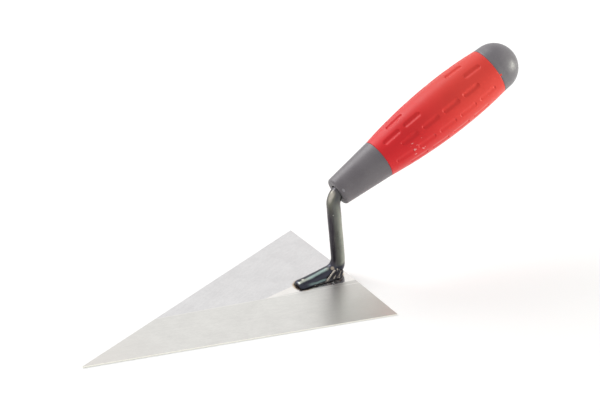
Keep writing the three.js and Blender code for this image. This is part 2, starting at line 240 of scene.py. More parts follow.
point, right_corner, left_corner = (
    Vector((point_x, 0)),
    Vector((heel_x, -BLADE_HALF_WIDTH)),
    Vector((heel_x, BLADE_HALF_WIDTH)),
)
blade_top = [
    *rounded_corner(point, left_corner, right_corner, POINT_EDGE),
    *rounded_corner(right_corner, point, left_corner, EDGE),
    Vector((heel_x, -WEDGE_RIGHT, SHEET)),
    Vector((heel_x, WEDGE_LEFT, SHEET)),
    *rounded_corner(left_corner, right_corner, point, EDGE),
    ridge_end,
]
rim = len(blade_top)
underside = [Vector((p.x, p.y, 0)) for p in blade_top]
wedge_right = 2 * (CORNER_STEPS + 1)  # places in the list of points
wedge_tip = 2 * rim
RIGHT_FACET, LEFT_FACET, WEDGE, RIM = range(4)
blade_faces, face_finish = [], []
for i in range(rim):
    following = (i + 1) % rim
    blade_faces.append((i, following, wedge_tip))
    on_right = i < wedge_right or following == 0
    face_finish.append(WEDGE if i == wedge_right else RIGHT_FACET if on_right else LEFT_FACET)
    blade_faces.append((following, i, rim + i, rim + following))
    face_finish.append(RIM)
blade_faces.append(tuple(reversed(range(rim, 2 * rim))))
face_finish.append(LEFT_FACET)

blade = add_object("ground_blade", blade_top + underside + [wedge_point], blade_faces)
for face, finish in zip(blade.data.polygons, face_finish):
    face.material_index = finish
    face.use_smooth = True
ridges = {wedge_right, wedge_right + 1, rim - 1}
for edge in blade.data.edges:
    ends = set(edge.vertices)
    over_top = wedge_tip in ends and ends & ridges
    round_rim = max(ends) < wedge_tip
    edge.use_edge_sharp = bool(over_top or round_rim)
easing = blade.modifiers.new("eased_edges", "BEVEL")
easing.width = EDGE_EASING
easing.segments = EASING_STEPS
easing.limit_method = "ANGLE"
easing.angle_limit = radians(60)


def finish_named(name, metal=0.0, roughness=0.5):
    finish = bpy.data.materials.new(name)
    finish.use_nodes = True
    shader = finish.node_tree.nodes["Principled BSDF"]
    shader.inputs["Metallic"].default_value = metal
    shader.inputs["Roughness"].default_value = roughness
    return finish, shader


def place_on_piece(finish):
    return node(finish, "ShaderNodeTexCoord").outputs["Object"]


def turned_place(finish, angle, scale):
    """Coordinates that run along a direction on the blade, scaled to features per metre."""
    return node(
        finish,
        "ShaderNodeMapping",
        {
            "Vector": place_on_piece(finish),
            "Rotation": (0, 0, angle),
            "Scale": tuple(1 / size for size in scale),
        },
        vector_type="TEXTURE",
    ).outputs[0]


def mottle(finish, where, scale, detail=3.0, roughness=0.55, distortion=0.0):
    made = node(
        finish,
        "ShaderNodeTexNoise",
        {
            "Vector": where,
            "Scale": scale,
            "Detail": detail,
            "Roughness": roughness,
            "Distortion": distortion,
        },
    )
    return made.outputs["Fac"]


def ramp(finish, value, low, high, to_low=0.0, to_high=1.0):
    """Eases from one level to another while the value goes from low to high."""
    made = node(
        finish,
        "ShaderNodeMapRange",
        {"Value": value, "From Min": low, "From Max": high, "To Min": to_low, "To Max": to_high},
        interpolation_type="SMOOTHSTEP",
    )
    return made.outputs[0]


def mixed(finish, share, first, second):
    """Mixes two colours, each a value or an output; the share is of the second."""
    made = node(finish, "ShaderNodeMix", {0: share}, data_type="RGBA")
    for socket, colour in ((made.inputs[6], first), (made.inputs[7], second)):
        if isinstance(colour, bpy.types.NodeSocket):
            finish.node_tree.links.new(colour, socket)
        else:
            socket.default_value = (*colour, 1)
    return made.outputs[2]


def colour_so_far(shader):
    return shader.inputs["Base Color"].links[0].from_socket


def raised(finish, shader, height, strength, depth):
    inputs = {"Height": height, "Strength": strength, "Distance": depth}
    feed(finish, shader, "Normal", node(finish, "ShaderNodeBump", inputs).outputs[0])


def reach(finish, vector, direction):
    """How far a vector reaches in a direction."""
    inputs = {0: vector, 1: direction}
    made = node(finish, "ShaderNodeVectorMath", inputs, operation="DOT_PRODUCT")
    return made.outputs["Value"]


def distance_from(finish, place):
    inputs = {0: place_on_piece(finish), 1: place}
    made = node(finish, "ShaderNodeVectorMath", inputs, operation="DISTANCE")
    return made.outputs["Value"]


def distance_off_line(finish, a, b):
    """How far a point of the blade is to either side of the line from a to b, in metres."""
    along = (b - a).normalized()
    across = Vector((-along.y, along.x, 0))
    aside = maths(
        finish, "SUBTRACT", reach(finish, place_on_piece(finish), across), across.dot(a)
    )
    return maths(finish, "ABSOLUTE", aside)


def ground_steel(name, light, dark, belt_angle, roughness, scratch):
    """Steel ground by a belt that ran at the given angle across the blade."""
    finish, shader = finish_named(name, metal=1, roughness=roughness)
    fine = mottle(finish, turned_place(finish, belt_angle, FINE_MARKS), 1, detail=4)
    broad = mottle(finish, turned_place(finish, belt_angle, BROAD_MARKS), 1, detail=4)
    cloud = mottle(finish, place_on_piece(finish), 60, detail=6, roughness=0.65)
    streaks = maths(finish, "MULTIPLY_ADD", fine, 0.4, maths(finish, "MULTIPLY", broad, 0.22))
    streaks = maths(finish, "MULTIPLY_ADD", cloud, 0.38, streaks)
    base = mixed(finish, ramp(finish, streaks, 0.34, 0.66), dark, light)
    uneven = ramp(finish, streaks, 0.3, 0.7, roughness + 0.05, roughness - 0.05)
    feed(finish, shader, "Base Color", base)
    feed(finish, shader, "Roughness", uneven)
    raised(finish, shader, fine, scratch, 0.00002)
    shader.inputs["Anisotropic"].default_value = 0.35
    across = {"X": -sin(belt_angle), "Y": cos(belt_angle), "Z": 0.0}
    feed(finish, shader, "Tangent", node(finish, "ShaderNodeCombineXYZ", across).outputs[0])
    return finish, shader


edge_angle = atan2(BLADE_HALF_WIDTH, BLADE_LENGTH)
right_steel, shader = ground_steel(
    "ground_steel_right",
    light=(0.80, 0.79, 0.76),
    dark=(0.715, 0.705, 0.68),
    belt_angle=-edge_angle,
    roughness=0.4,
    scratch=0.3,
)
base = colour_so_far(shader)
# Painted reflection: the right corner is painted darker and duller, standing in for the darker
# surroundings it mirrors. Towards the point the steel turns warmer.
corner_shade = mottle(right_steel, place_on_piece(right_steel), 150, detail=5)
corner_shade = mixed(right_steel, corner_shade, (0.577, 0.576, 0.530), (0.627, 0.630, 0.580))
from_corner = distance_from(right_steel, right_corner.to_3d())
base = mixed(right_steel, ramp(right_steel, from_corner, 0.0, CORNER_SHADE_REACH, 0.95, 0), base, corner_shade)
by_point = ramp(right_steel, distance_from(right_steel, point.to_3d()), 0.0, POINT_WARMTH_REACH, 0.7, 0)
base = mixed(right_steel, by_point, base, (0.775, 0.745, 0.71))
# Painted highlight: a fine pale line along the ridge where the two ground halves meet, where the
# edge catches the light.
off_ridge = distance_off_line(right_steel, ridge_end, wedge_point)
ridge_highlight = ramp(right_steel, off_ridge, RIDGE_HALF / 5, RIDGE_HALF, 0.7, 0)
base = mixed(right_steel, ridge_highlight, base, (0.95, 0.93, 0.9))
feed(right_steel, shader, "Base Color", base)

left_steel, _ = ground_steel(
    "ground_steel_left",
    light=(0.80, 0.79, 0.79),
    dark=(0.70, 0.69, 0.692),
    belt_angle=edge_angle,
    roughness=0.4,
    scratch=0.3,
)
# Painted reflection: the rim is painted paler than the faces, standing in for the lit bench that it
# mirrors.
edge_steel, _ = ground_steel(
    "ground_steel_edge",
    light=(0.97, 0.96, 0.88),
    dark=(0.93, 0.92, 0.84),
    belt_angle=0,
    roughness=0.35,
    scratch=0.2,
)

rolled_steel, shader = finish_named("rolled_steel", metal=1, roughness=0.16)
cloud = mottle(rolled_steel, place_on_piece(rolled_steel), 120, detail=4)
roll_lines = mottle(rolled_steel, turned_place(rolled_steel, 0, ROLLING_LINES), 1, detail=2)
base = mixed(rolled_steel, cloud, (0.84, 0.81, 0.775), (0.92, 0.9, 0.87))
feed(rolled_steel, shader, "Base Color", base)
feed(rolled_steel, shader, "Roughness", ramp(rolled_steel, cloud, 0.3, 0.7, 0.12, 0.2))
raised(rolled_steel, shader, roll_lines, 0.1, 0.00001)

# Welding the foot on has tinted the steel round its outline: straw further out, brown close by.
HEAT_TINT_TOE = heel_x - 0.0315
HEAT_TINT_HEEL = heel_x - 0.0085
HEAT_TINT_HALF = 0.0056
HEAT_TINT_REACH = 0.0017
HEAT_TINT_RAGGED = 0.0014
STRAW_TINT = (0.52, 0.36, 0.2)
BROWN_TINT = (0.1, 0.07, 0.06)

for finish in (right_steel, left_steel, rolled_steel):
    shader = finish.node_tree.nodes["Principled BSDF"]
    parts = node(finish, "ShaderNodeSeparateXYZ", {"Vector": place_on_piece(finish)}).outputs
    ahead = maths(finish, "SUBTRACT", HEAT_TINT_TOE, parts["X"])
    behind = maths(finish, "SUBTRACT", parts["X"], HEAT_TINT_HEEL)
    beyond = maths(finish, "MAXIMUM", maths(finish, "MAXIMUM", ahead, behind), 0.0)
    offset = node(finish, "ShaderNodeCombineXYZ", {"X": beyond, "Y": parts["Y"]}).outputs[0]
    away = node(finish, "ShaderNodeVectorMath", {0: offset}, operation="LENGTH").outputs["Value"]
    ragged = mottle(finish, place_on_piece(finish), 500)
    ragged = maths(finish, "MULTIPLY", ragged, HEAT_TINT_RAGGED)
    away = maths(finish, "SUBTRACT", maths(finish, "SUBTRACT", away, HEAT_TINT_HALF), ragged)
    near = ramp(finish, away, -0.0002, HEAT_TINT_REACH, 0.8, 0)
    close = ramp(finish, away, -0.0006, 0.0005, 0.9, 0)
    base = mixed(finish, near, colour_so_far(shader), STRAW_TINT)
    base = mixed(finish, close, base, BROWN_TINT)
    feed(finish, shader, "Base Color", base)
    blade.data.materials.append(finish)
blade.data.materials.append(edge_steel)
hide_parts("blade")
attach(blade, "root")
lit_by_lamps.objects.link(blade)
lit_by_lamps.collection_objects[0].light_linking.link_state = "EXCLUDE"


# Tang: one round steel rod, forged hot. Its foot is flattened on to the blade, the neck rises
# from the heel, and the pressed oval tail runs back inside the handle.

ROD_RADIUS = 0.00455
FOOT_LENGTH = 0.0327
FOOT_FLATTENING = 0.0013
HEEL_HALF_WIDTH = 0.0064
TOE_HALF_WIDTH = 0.0057
FLARE_POWER = 1.5  # higher keeps the foot's spread closer to the blade
LEAST_HALF_WIDTH = 0.0005
HEEL_FLATTENING = 0.85  # the foot's height at the heel and the toe, as shares of the rod's
TOE_FLATTENING = 0.41
FALL_POWER = 1.4  # higher lets that height fall sooner behind the heel
FLATTENED_HEIGHT = 0.008
TOE_ROUNDING = 0.003
TOE_BLUNTNESS = 0.62
HEEL_SQUARENESS = 0.16
TAIL_WIDTH = 1.16
TAIL_HEIGHT = 0.84
NECK_SETBACK = 0.0036
NECK_LEAN = radians(5.4)
NECK_HEIGHT = 0.0614
HEEL_BEND = 0.009
NOSE_BEND = 0.0095
NOSE_GAP = 0.00375
TAIL_LENGTH = 0.084
PRESSED_LENGTH = 0.062
HANDLE_TILT = radians(23.15)
ROD_STEP = 0.0006
ROD_SIDES = 48
FORGING_LUMPS = 0.00022
LUMP_SHARES_AND_SIZES = ((0.5, 0.011), (0.35, 0.0045))
LUMPS_END = 0.006  # above the neck's top, where the handle hides the rod
LUMPS_FADE = 0.004
SUNK_IN = 0.0002  # what lies on the blade reaches this far into it, so that no gap shows

face_z = SHEET
foot_z = face_z + ROD_RADIUS - FOOT_FLATTENING
heel = Vector((heel_x - NECK_SETBACK, foot_z))
toe = heel - Vector((FOOT_LENGTH, 0))
top = Vector((heel.x - tan(NECK_LEAN) * (NECK_HEIGHT - foot_z), NECK_HEIGHT))
handle_axis = Vector((cos(HANDLE_TILT), sin(HANDLE_TILT)))
tail = top + handle_axis * (NOSE_GAP + TAIL_LENGTH)
heel_centre = Vector((heel.x - HEEL_BEND * tan((pi / 2 + NECK_LEAN) / 2), foot_z + HEEL_BEND))


def rod_line(corners, radii):
    """Points along the rod's centre line with the direction of the rod at each, in its plane."""
    line, start = [], corners[0]
    for i, radius in enumerate(radii, 1):
        back = (corners[i - 1] - corners[i]).normalized()
        on = (corners[i + 1] - corners[i]).normalized()
        half = back.angle(on) / 2
        setback = radius / tan(half)
        bend_start = corners[i] + back * setback
        centre = corners[i] + (back + on).normalized() * (radius / sin(half))
        straight = bend_start - start
        steps = max(2, round(straight.length / ROD_STEP))
        line += [(start + straight * k / steps, straight.normalized()) for k in range(steps)]
        turn = (pi - 2 * half) * (1 if (-back).cross(on) > 0 else -1)
        steps = max(8, round(abs(turn) * radius / ROD_STEP))
        for k in range(steps):
            rotated = Matrix.Rotation(turn * k / steps, 2)
            line.append((centre + rotated @ (bend_start - centre), rotated @ -back))
        start = corners[i] + on * setback
    straight = corners[-1] - start
    steps = round(straight.length / ROD_STEP)
    return line + [(start + straight * k / steps, straight.normalized()) for k in range(steps + 1)]


def clamp(value):
    return max(0.0, min(1.0, value))


def smooth(value):
    value = clamp(value)
    return value * value * (3 - 2 * value)


def squared_heel(p):
    """Moves a point of the heel's bend outwards, to where upsetting the corner leaves it."""
    arm = Vector((p.x - heel_centre.x, p.z - heel_centre.y))
    if not arm.x > 0 > arm.y:
        return p
    outwards = max(0, (arm.length - HEEL_BEND + ROD_RADIUS) / (2 * ROD_RADIUS))
    push = HEEL_SQUARENESS * outwards * sin(2 * atan2(-arm.y, arm.x)) ** 2
    return Vector((p.x + arm.x * push, p.y, p.z + arm.y * push))


def forged_foot(p):
    """Moves a point of the foot or of the neck above it to where flattening leaves it."""
    above = p.z - face_z
    towards_toe = clamp((heel_centre.x - p.x) / (heel_centre.x - toe.x))
    half_width = HEEL_HALF_WIDTH + (TOE_HALF_WIDTH - HEEL_HALF_WIDTH) * towards_toe
    widest_at = ROD_RADIUS - FOOT_FLATTENING
    low = clamp(1 - above / widest_at)
    flared = ROD_RADIUS + (half_width - ROD_RADIUS) * low**FLARE_POWER
    bar_width = sqrt(max(ROD_RADIUS**2 - (above - widest_at) ** 2, LEAST_HALF_WIDTH**2))
    spread = flared / bar_width if low > 0 else 1
    from_end = clamp((p.x - toe.x) / TOE_ROUNDING)
    end = TOE_BLUNTNESS + (1 - TOE_BLUNTNESS) * sqrt(1 - (1 - from_end) ** 2)
    fallen = 1 - (1 - towards_toe) ** FALL_POWER
    flattening = (HEEL_FLATTENING + (TOE_FLATTENING - HEEL_FLATTENING) * fallen) * end
    fade = smooth((above - FLATTENED_HEIGHT) / FLATTENED_HEIGHT)
    height = above * (flattening + (1 - flattening) * fade)
    return Vector((p.x, p.y * spread * end, face_z + height))


def pressed_tail(p):
    """Moves a point of the tail to where pressing it oval leaves it."""
    from_top = Vector((p.x, p.z)) - top
    if from_top.dot(handle_axis) < NOSE_GAP + TAIL_LENGTH - PRESSED_LENGTH:
        return p
    off = handle_axis.cross(from_top) * (TAIL_HEIGHT - 1)
    return Vector((p.x - handle_axis.y * off, p.y * TAIL_WIDTH, p.z + handle_axis.x * off))


def lumpy(p, outwards, depth, size):
    """Pushes a point in or out by smooth random lumps of the given size."""
    return p + outwards * (depth * noise.noise(p / size))


def on_blade(p):
    """The point, lifted if it would lie deeper in the blade than steel on it is sunk."""
    return Vector((p.x, p.y, max(p.z, face_z - SUNK_IN)))


tang_points, tang_faces = [], []
line = rod_line([toe, heel, top, tail], [HEEL_BEND, NOSE_BEND])
for centre, along in line:
    for k in range(ROD_SIDES):
        a = 2 * pi * k / ROD_SIDES
        side = Vector((-along.y * cos(a), sin(a), along.x * cos(a)))
        p = Vector((centre.x, 0, centre.y)) + side * ROD_RADIUS
        p = forged_foot(squared_heel(p)) if p.z < NECK_HEIGHT / 2 else pressed_tail(p)
        visible = smooth((NECK_HEIGHT + LUMPS_END - p.z) / LUMPS_FADE)
        for share, size in LUMP_SHARES_AND_SIZES:
            p = lumpy(p, side, -FORGING_LUMPS * share * visible, size)
        tang_points.append(on_blade(p))
for row in range(len(line) - 1):
    for k in range(ROD_SIDES):
        a, b = row * ROD_SIDES + k, row * ROD_SIDES + (k + 1) % ROD_SIDES
        tang_faces.append((a, a + ROD_SIDES, b + ROD_SIDES, b))
tang_faces.append(tuple(range(ROD_SIDES)))
tang_faces.append(tuple(reversed(range((len(line) - 1) * ROD_SIDES, len(line) * ROD_SIDES))))
tang = add_object("forged_tang", tang_points, tang_faces)
for face in tang.data.polygons:
    face.use_smooth = len(face.vertices) == 4

forged_steel, shader = finish_named("forged_steel", metal=1, roughness=0.32)
where = place_on_piece(forged_steel)
facing = node(forged_steel, "ShaderNodeTexCoord").outputs["Normal"]
position = node(forged_steel, "ShaderNodeSeparateXYZ", {"Vector": where}).outputs
height = position["Z"]
along_foot = position["X"]
patches = mottle(forged_steel, where, 160, detail=5, distortion=0.4)
draw_lines = node(forged_steel, "ShaderNodeMapping", {"Vector": where, "Scale": (900, 900, 60)})
draw_lines = mottle(forged_steel, draw_lines.outputs[0], 1)


def broken_up(value, amount):
    """The same value with its contour broken up by the oxide's patches."""
    shift = maths(forged_steel, "SUBTRACT", patches, 0.5)
    return maths(forged_steel, "MULTIPLY_ADD", shift, amount, value)


def turned_to(direction, amount):
    """How nearly the steel faces a direction: 1 when it faces it squarely."""
    direction = Vector(direction).normalized()
    return broken_up(reach(forged_steel, facing, direction), amount)


def on_tang(value, low, high, to_low=0.0, to_high=1.0):
    return ramp(forged_steel, value, low, high, to_low, to_high)


def where_both(a, b):
    return maths(forged_steel, "MULTIPLY", a, b)


def laid_over(under, mask, colour):
    return mixed(forged_steel, mask, under, colour)


def spot(place, size):
    """A ragged spot round a place on the tang."""
    away = broken_up(distance_from(forged_steel, place), size)
    return on_tang(away, size * 0.4, size * 1.1, 1, 0)


# The oxide is purple-black all over the neck. Its heel side is painted lighter, a painted
# reflection of the light from that side, and the outside of the upper bend carries a painted
# highlight. Just outside the handle the steel is painted darker, as painted shade of the nose.
lit_side_facing = turned_to((0.83, -0.56, 0), 0.5)
base = mixed(forged_steel, patches, (0.047, 0.040, 0.052), (0.068, 0.060, 0.072))
base = laid_over(base, on_tang(lit_side_facing, -0.45, 0.25), (0.14, 0.144, 0.131))
base = laid_over(base, on_tang(lit_side_facing, 0.2, 0.95), (0.315, 0.335, 0.285))
base = laid_over(base, on_tang(draw_lines, 0.45, 0.75, 0, 0.3), (0.22, 0.215, 0.2))

mouth = top.dot(handle_axis) + NOSE_GAP
up_handle = reach(forged_steel, where, (handle_axis.x, 0, handle_axis.y))
# Painted shade on the rod just outside the handle, where the nose shades it.
painted_mouth_shade = on_tang(up_handle, mouth - 0.0075, mouth - 0.003, 0, 0.75)
short_of_mouth = on_tang(up_handle, mouth - 0.0045, mouth - 0.0005, 1, 0)
# Painted highlights on the outside of the upper bend: a broad dim one and a narrow bright one.
painted_bend_glow = on_tang(turned_to((-0.86, -0.24, 0.45), 0.15), 0.65, 0.97)
painted_bend_glow = where_both(where_both(on_tang(height, 0.045, 0.055), short_of_mouth), painted_bend_glow)
painted_bend_highlight = on_tang(turned_to((-0.80, -0.24, 0.55), 0.1), 0.86, 1.0)
painted_bend_highlight = where_both(painted_bend_highlight, on_tang(height, 0.048, 0.060))
painted_bend_highlight = where_both(painted_bend_highlight, short_of_mouth)
base = laid_over(base, painted_mouth_shade, (0.075, 0.072, 0.078))
base = laid_over(base, painted_bend_glow, (0.165, 0.165, 0.137))
base = laid_over(base, painted_bend_highlight, (0.46, 0.43, 0.375))
# A painted glint, a small pale fleck on the neck.
painted_neck_glint = spot((top.x - ROD_RADIUS * 0.45, -0.0039, 0.0490), 0.0007)
neck = laid_over(base, painted_neck_glint, (0.45, 0.46, 0.41))

# The foot is darker, with a painted highlight along its top, a broken painted reflection low on its
# sides and painted shade, black, in the joint with the blade.
TOP_HIGHLIGHT_ASIDE = -0.0008
TOP_HIGHLIGHT_HALF = 0.0018
FOOT_UP_TO = 0.0085  # the foot's colours hold up to this height, and the neck's from the next
NECK_FROM = 0.0125
line_middle = (heel.x + toe.x) / 2 - 0.001
foot = mixed(forged_steel, patches, (0.036, 0.037, 0.048), (0.056, 0.057, 0.076))
off_line = broken_up(maths(forged_steel, "SUBTRACT", position["Y"], TOP_HIGHLIGHT_ASIDE), 0.0012)
off_line = maths(forged_steel, "ABSOLUTE", off_line)
painted_top_highlight = on_tang(off_line, TOP_HIGHLIGHT_HALF * 0.2, TOP_HIGHLIGHT_HALF, 1, 0)
painted_top_highlight = where_both(painted_top_highlight, on_tang(along_foot, toe.x, toe.x + 0.002))
painted_top_highlight = where_both(painted_top_highlight, on_tang(along_foot, heel.x - 0.0105, heel.x - 0.0075, 1, 0))
off_middle = maths(forged_steel, "SUBTRACT", along_foot, line_middle)
off_middle = maths(forged_steel, "ABSOLUTE", off_middle)
towards_ends = on_tang(off_middle, 0.004, 0.011)
highlight_colour = mixed(forged_steel, towards_ends, (0.285, 0.37, 0.35), (0.39, 0.415, 0.36))
foot = laid_over(foot, painted_top_highlight, highlight_colour)
broken_height = broken_up(height, 0.002)
# Painted reflection of the blade, teal, low on the foot's sides.
painted_side_reflection = where_both(
    on_tang(broken_height, face_z + 0.0006, face_z + 0.0014),
    on_tang(broken_height, face_z + 0.0017, face_z + 0.0026, 1, 0),
)
painted_side_reflection = where_both(painted_side_reflection, on_tang(along_foot, toe.x + 0.004, toe.x + 0.009))
# Painted shade: black in the crevice where the foot meets the blade.
painted_joint_shade = on_tang(height, face_z + 0.0004, face_z + 0.0010, 1, 0)
foot = laid_over(foot, painted_side_reflection, (0.14, 0.19, 0.19))
foot = laid_over(foot, painted_joint_shade, (0.008, 0.008, 0.01))

on_foot = on_tang(broken_up(height, 0.006), FOOT_UP_TO, NECK_FROM, 1, 0)
base = laid_over(neck, on_foot, foot)

# Painted highlights on the foot: a pale rim at the toe's end, bright glints at both ends of its top
# highlight and a brown-cream one in the bend at its heel; and one black spot at its heel.
for place, size, colour in (
    ((toe.x + 0.0006, 0.0026, face_z + 0.0008), 0.0013, (0.22, 0.25, 0.235)),
    ((toe.x + 0.0048, 0.0006, face_z + 0.0032), 0.0011, (0.60, 0.59, 0.52)),
    ((heel.x - 0.0098, -0.0012, face_z + 0.0062), 0.0011, (0.45, 0.44, 0.40)),
    ((heel.x - 0.0068, -0.0025, face_z + 0.0064), 0.0015, (0.33, 0.28, 0.23)),
    ((heel.x - 0.0075, -0.0037, face_z + 0.0050), 0.0009, (0.008, 0.007, 0.009)),
):
    base = laid_over(base, spot(place, size), colour)
feed(forged_steel, shader, "Base Color", base)
feed(forged_steel, shader, "Roughness", on_tang(patches, 0.3, 0.7, 0.26, 0.4))
raised(forged_steel, shader, maths(forged_steel, "ADD", patches, draw_lines), 0.25, 0.0001)
tang.data.materials.append(forged_steel)
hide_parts("tang")
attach(tang, "root")


# Weld beads: filler metal run along both sides of the foot and round its heel. Each is a row of
# overlapping ripples, darkened by the heat, and the right one ends in a heap against the heel.

BEAD_RADIUS = 0.0013
RIPPLE = 0.0011
RIPPLE_DEPTH = 0.16
BEAD_STEP = 0.0002
BEAD_SIDES = 20
BEAD_LUMPS = 0.0003
BEAD_LUMP_SIZE = 0.0016
BEAD_END = 0.05  # share of the radius that is left at the very end
SIDE_BEAD_INSET = 0.0004  # a side bead's line runs this far inside the heel's half width,
SIDE_BEAD_TAPER = 0.0004  # and as much further in at the toe
HEEL_BEAD_INSET = 0.0002
HEEL_BEAD_RISE = 0.0002
HEAP = [
    # three runs of filler, each from one place to another; a place is how far it is in front of
    # the neck's line, to the right of the middle and above the blade
    ((0.0125, 0.0054, 0.0004), (0.0058, 0.0042, 0.0048)),
    ((0.0074, 0.0058, 0.0004), (0.0036, 0.0042, 0.0050)),
    ((0.0036, 0.0056, 0.0004), (0.0012, 0.0044, 0.0030)),
]
HEAP_RADIUS = 0.0015
HEAP_STEPS = 8
HEAP_LUMPS = 0.0002
HEAP_LUMP_SIZE = 0.0025
HEAP_GRAIN = 0.00016
HEAP_FLOW = 8  # rounds of smoothing that let the runs flow together

weld_steel, shader = finish_named("weld_steel", metal=1, roughness=0.4)
where = place_on_piece(weld_steel)
facing = node(weld_steel, "ShaderNodeTexCoord").outputs["Normal"]
height = node(weld_steel, "ShaderNodeSeparateXYZ", {"Vector": where}).outputs["Z"]
slag = mottle(weld_steel, where, 260, detail=2, distortion=0.5)
tint = mottle(weld_steel, where, 220, detail=3)
# Painted highlight: the lumps are painted pale where they face up and to the left.
skywards = reach(weld_steel, facing, Vector((-0.5, -0.4, 0.77)).normalized())
lump_highlight_facing = maths(weld_steel, "MULTIPLY_ADD", slag, 0.12, skywards)
# Painted shade: black where the beads meet the blade.
painted_contact_shade = ramp(weld_steel, height, face_z + 0.0002, face_z + 0.0012, 1, 0)
base = mixed(weld_steel, tint, (0.018, 0.016, 0.022), (0.05, 0.05, 0.056))
base = mixed(weld_steel, ramp(weld_steel, slag, 0.56, 0.7, 0, 0.6), base, (0.16, 0.14, 0.125))
base = mixed(weld_steel, ramp(weld_steel, lump_highlight_facing, 0.96, 1.04), base, (0.33, 0.30, 0.26))
base = mixed(weld_steel, painted_contact_shade, base, (0.01, 0.01, 0.012))
feed(weld_steel, shader, "Base Color", base)
feed(weld_steel, shader, "Roughness", ramp(weld_steel, slag, 0.3, 0.7, 0.25, 0.45))
raised(weld_steel, shader, slag, 0.15, 0.0002)


def heaped(bead, heap):
    """Adds balls of filler to a bead and lets them flow together."""
    whole = bmesh.new()
    whole.from_mesh(bead.data)
    for centre in heap:
        ball = bmesh.ops.create_icosphere(
            whole, subdivisions=4, radius=HEAP_RADIUS, matrix=Matrix.Translation(centre)
        )
        for vert in ball["verts"]:
            out = (vert.co - centre).normalized()
            vert.co = on_blade(lumpy(vert.co, out, HEAP_LUMPS, HEAP_LUMP_SIZE))
    whole.to_mesh(bead.data)
    whole.free()
    fused = bead.modifiers.new("fused", "REMESH")
    fused.mode = "VOXEL"
    fused.voxel_size = HEAP_GRAIN
    fused.use_smooth_shade = True
    flowed = bead.modifiers.new("flowed", "SMOOTH")
    flowed.iterations = HEAP_FLOW


def weld_bead(name, cad_node, line, swell, heap=()):
    """A rippled bead along points on the blade's face; swell gives its radius share at each end."""
    lengths = [0.0]
    for a, b in zip(line, line[1:]):
        lengths.append(lengths[-1] + (b - a).length)
    total = lengths[-1]
    steps = round(total / BEAD_STEP)
    points, faces = [], []
    for i in range(steps + 1):
        gone = total * i / steps
        j = max(k for k in range(len(line) - 1) if lengths[k] <= gone + 1e-12)
        t = (gone - lengths[j]) / (lengths[j + 1] - lengths[j])
        centre = line[j].lerp(line[j + 1], t)
        along = (line[min(j + 2, len(line) - 1)] - line[max(j - 1, 0)]).normalized()
        side = Vector((-along.y, along.x, 0))
        ripple = 1 - RIPPLE_DEPTH * ((gone / RIPPLE) % 1) ** 2
        from_end = clamp(min(gone, total - gone) / BEAD_RADIUS)
        close = max(BEAD_END, sqrt(1 - (1 - from_end) ** 2))
        radius = BEAD_RADIUS * ripple * close * (swell[0] + (swell[1] - swell[0]) * i / steps)
        for k in range(BEAD_SIDES):
            a = 2 * pi * k / BEAD_SIDES
            out = side * cos(a) + Vector((0, 0, sin(a)))
            p = lumpy(centre + out * radius, out, BEAD_LUMPS * close, BEAD_LUMP_SIZE)
            points.append(on_blade(p))
    for row in range(steps):
        for k in range(BEAD_SIDES):
            a, b = row * BEAD_SIDES + k, row * BEAD_SIDES + (k + 1) % BEAD_SIDES
            faces.append((a, b, b + BEAD_SIDES, a + BEAD_SIDES))
    faces.append(tuple(reversed(range(BEAD_SIDES))))
    faces.append(tuple(range(steps * BEAD_SIDES, (steps + 1) * BEAD_SIDES)))
    bead = add_object(name, points, faces)
    if heap:
        heaped(bead, heap)
    for face in bead.data.polygons:
        face.use_smooth = True
    bead.data.materials.append(weld_steel)
    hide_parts(cad_node)
    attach(bead, "root")


for side_name, side in (("right", -1), ("left", 1)):
    low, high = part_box("weld_bead_" + side_name)
    y = side * (HEEL_HALF_WIDTH - SIDE_BEAD_INSET)
    run = [
        Vector((low.x + (high.x - low.x) * t, y - side * SIDE_BEAD_TAPER * (1 - t), face_z))
        for t in (0, 0.3, 0.7, 1)
    ]
    heap = []
    for start, end in HEAP if side_name == "right" else []:
        for i in range(HEAP_STEPS + 1):
            ahead, aside, above = Vector(start).lerp(Vector(end), i / HEAP_STEPS)
            heap.append(Vector((heel.x - ahead, side * aside, face_z + above)))
    weld_bead("weld_" + side_name, "weld_bead_" + side_name, run, (0.7, 1.0), heap)

low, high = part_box("weld_bead_heel")
half = HEEL_HALF_WIDTH - HEEL_BEAD_INSET
back = high.x - BEAD_RADIUS - low.x
one_side = (0.25, 0.5, 0.75, 0.9, 0.97, 1)
round_heel = [
    Vector((low.x + back * sqrt(max(0, 1 - abs(t) ** 3)), half * t, face_z + HEEL_BEAD_RISE))
    for t in (*(-t for t in reversed(one_side)), 0, *one_side)
]
weld_bead("weld_heel", "weld_bead_heel", round_heel, (1.25, 0.9))


# Handle core: hard grey plastic, moulded round the tail. Its tapered nose shows in front of the
# grip; the rest is under the sleeve.

NOSE_LENGTH = 0.03565
NOSE_RADIUS = 0.00975
NOSE_ROUNDING = 0.0017
MOUTH_RADIUS = 0.0051
MOUTH_DEPTH = 0.006
MOUTH_EASING = 0.0002
TAPER_START = NOSE_ROUNDING + 0.0005
BORE_RADIUS = 0.0056
GRIP_LENGTH = 0.094
GRIP_FRONT_RADIUS = 0.01335
GRIP_REAR_RADIUS = 0.01635
SLEEVE_WALL = 0.003
GAP = 0.0003
SEAM = 0.00008
SEAM_EASING = 0.0002
CAVITY_RADIUS = 0.0096
CAVITY_START = 0.096
NOSE_END = NOSE_LENGTH - SEAM
GRIP_END = NOSE_LENGTH + GRIP_LENGTH
BARREL = [
    # the points that the bulging outline is drawn towards: radius, and place along the handle
    (GRIP_FRONT_RADIUS, NOSE_LENGTH),
    (0.0179, NOSE_LENGTH + 0.285 * GRIP_LENGTH),
    (0.0202, NOSE_LENGTH + 0.667 * GRIP_LENGTH),
    (GRIP_REAR_RADIUS, GRIP_END),
]
ROUND = 128

